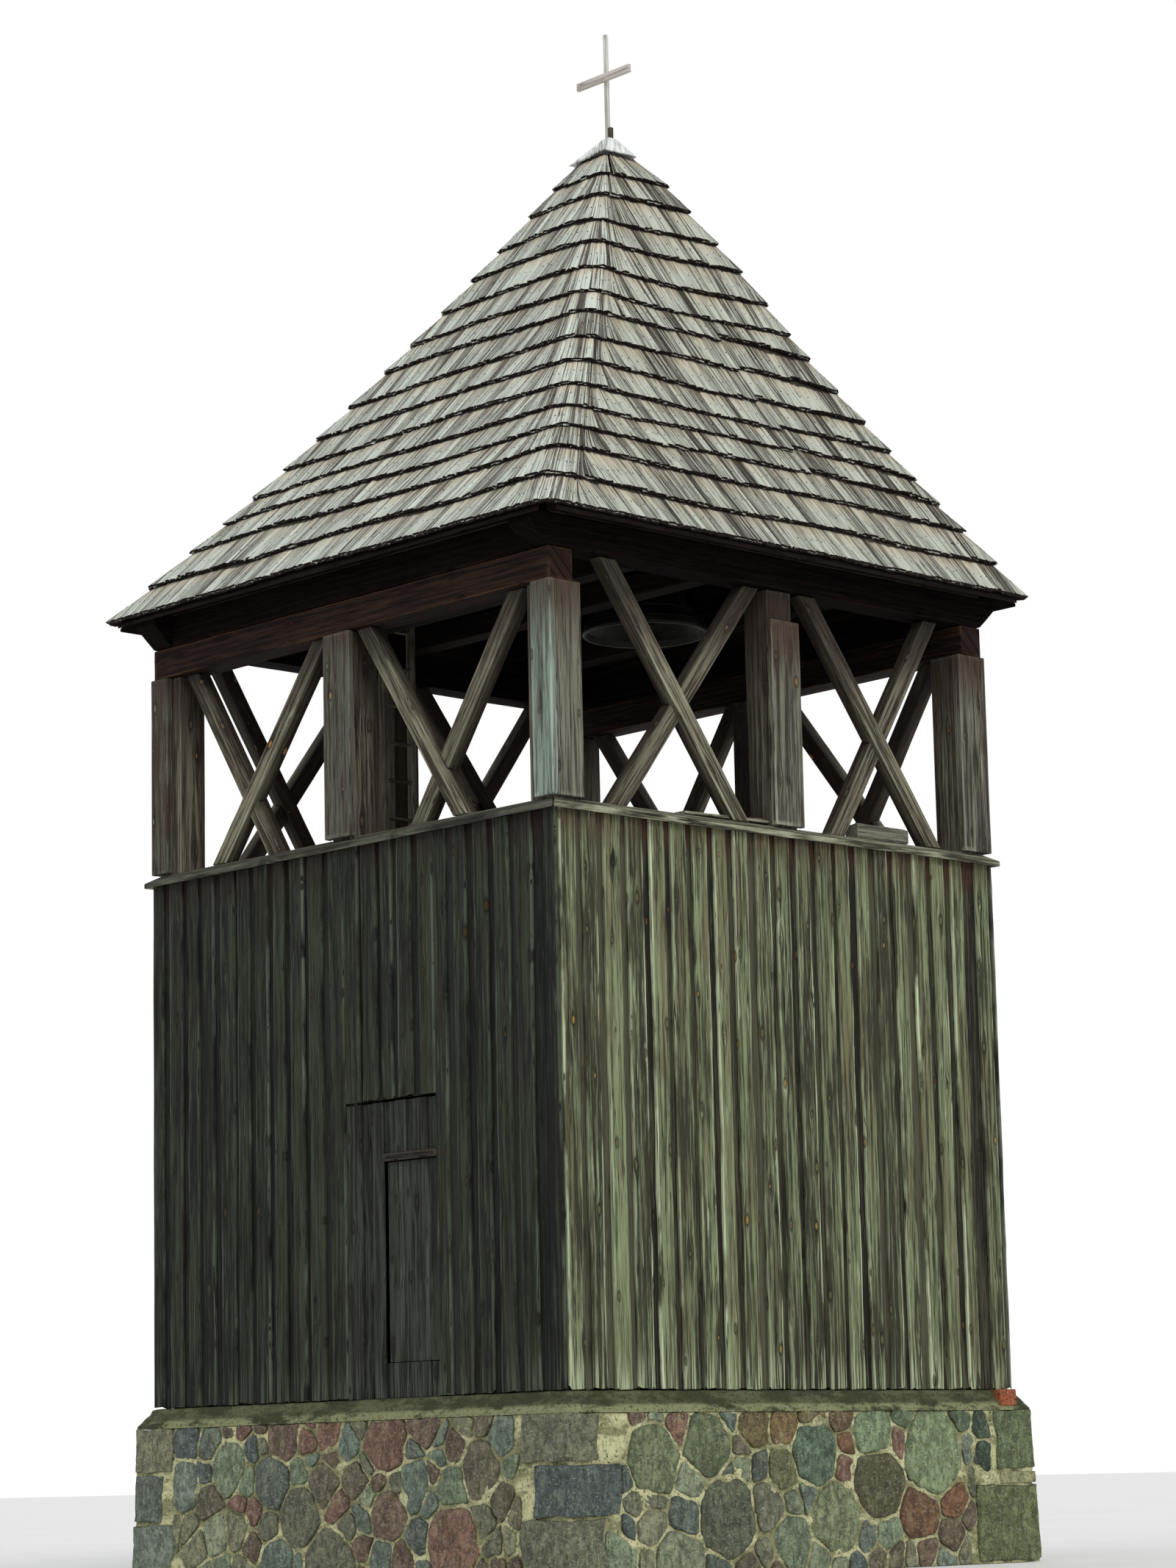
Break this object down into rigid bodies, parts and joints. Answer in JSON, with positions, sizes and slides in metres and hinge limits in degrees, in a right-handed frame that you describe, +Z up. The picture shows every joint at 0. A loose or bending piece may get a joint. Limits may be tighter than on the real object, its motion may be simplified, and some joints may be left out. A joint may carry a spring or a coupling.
{
  "type": "timber bell tower",
  "caption": "Square boarded bell tower on a rubble plinth, with an open braced belfry, a bell and a swept shingle roof with a cross.",
  "frame": {"origin": "centre of the tower at the lowest ground it stands on", "axes": "+Z up, -Y out of the face with the door, +X to the right of someone who faces the door"},
  "size_m": [5.04, 5.04, 11.8548],
  "materials": {
    "stone": "rubble stone, rough, in mortar",
    "mortar": "weathered lime mortar",
    "wall_boards": "vertical boards, weathered grey",
    "door_boards": "boards, weathered dark grey",
    "casing_boards": "boards, weathered grey",
    "frame_timber": "hewn timber, dark brown",
    "floor_boards": "rough boards",
    "shingles": "split shingles, bleached grey",
    "cap_boards": "boards, pale grey",
    "cross_timber": "plain timber, grey",
    "iron": "forged iron, rusty",
    "bell_metal": "cast bell bronze, dark patina"
  },
  "bodies": {
    "tower": {"stone_plinth": "stone", "mortar_bed": "mortar", "front_wall_left": "wall_boards", "front_wall_right": "wall_boards", "front_wall_over_door": "wall_boards", "back_wall": "wall_boards", "left_wall": "wall_boards", "right_wall": "wall_boards", "door_boarding": "wall_boards", "door_lintel": "door_boards", "post_casings_front_and_back": "casing_boards", "post_casings_left_and_right": "casing_boards", "drip_ledges_front_and_back": "casing_boards", "drip_ledges_left_and_right": "casing_boards", "sills_front_and_back": "frame_timber", "sills_left_and_right": "frame_timber", "corner_posts": "frame_timber", "mid_posts": "frame_timber", "belfry_rails": "frame_timber", "lower_plates": "frame_timber", "upper_plates": "frame_timber", "tie_beams": "frame_timber", "pole_plates": "frame_timber", "outer_braces": "frame_timber", "inner_braces": "frame_timber", "floor_joists": "frame_timber", "door_frame": "frame_timber", "roof_mast": "frame_timber", "common_rafters": "frame_timber", "hip_rafters": "frame_timber", "bell_trestles": "frame_timber", "mast_end": "frame_timber", "ladder_rails": "frame_timber", "ladder_rungs": "frame_timber", "ground_floor": "floor_boards", "belfry_floor": "floor_boards", "roof_front": "shingles", "roof_right": "shingles", "roof_back": "shingles", "roof_left": "shingles", "roof_cap": "cap_boards", "cross_upright": "cross_timber", "cross_bar": "cross_timber", "door_pintles": "iron"},
    "door": {"door_leaf": "door_boards", "door_straps": "iron"},
    "bell": {"bell": "bell_metal", "headstock": "frame_timber", "gudgeons": "iron", "clapper": "iron"}
  },
  "joints": [
    {"name": "door_hinge", "type": "hinge", "parent": "tower", "child": "door", "pos_m": [0.964, -2.1707, 2.1], "axis": [0, 0, 1], "range_deg": [-90, 0]},
    {"name": "bell_swing", "type": "hinge", "parent": "tower", "child": "bell", "pos_m": [0, 0.85, 7.975], "axis": [0, 1, 0], "range_deg": [-45, 45]}
  ]
}
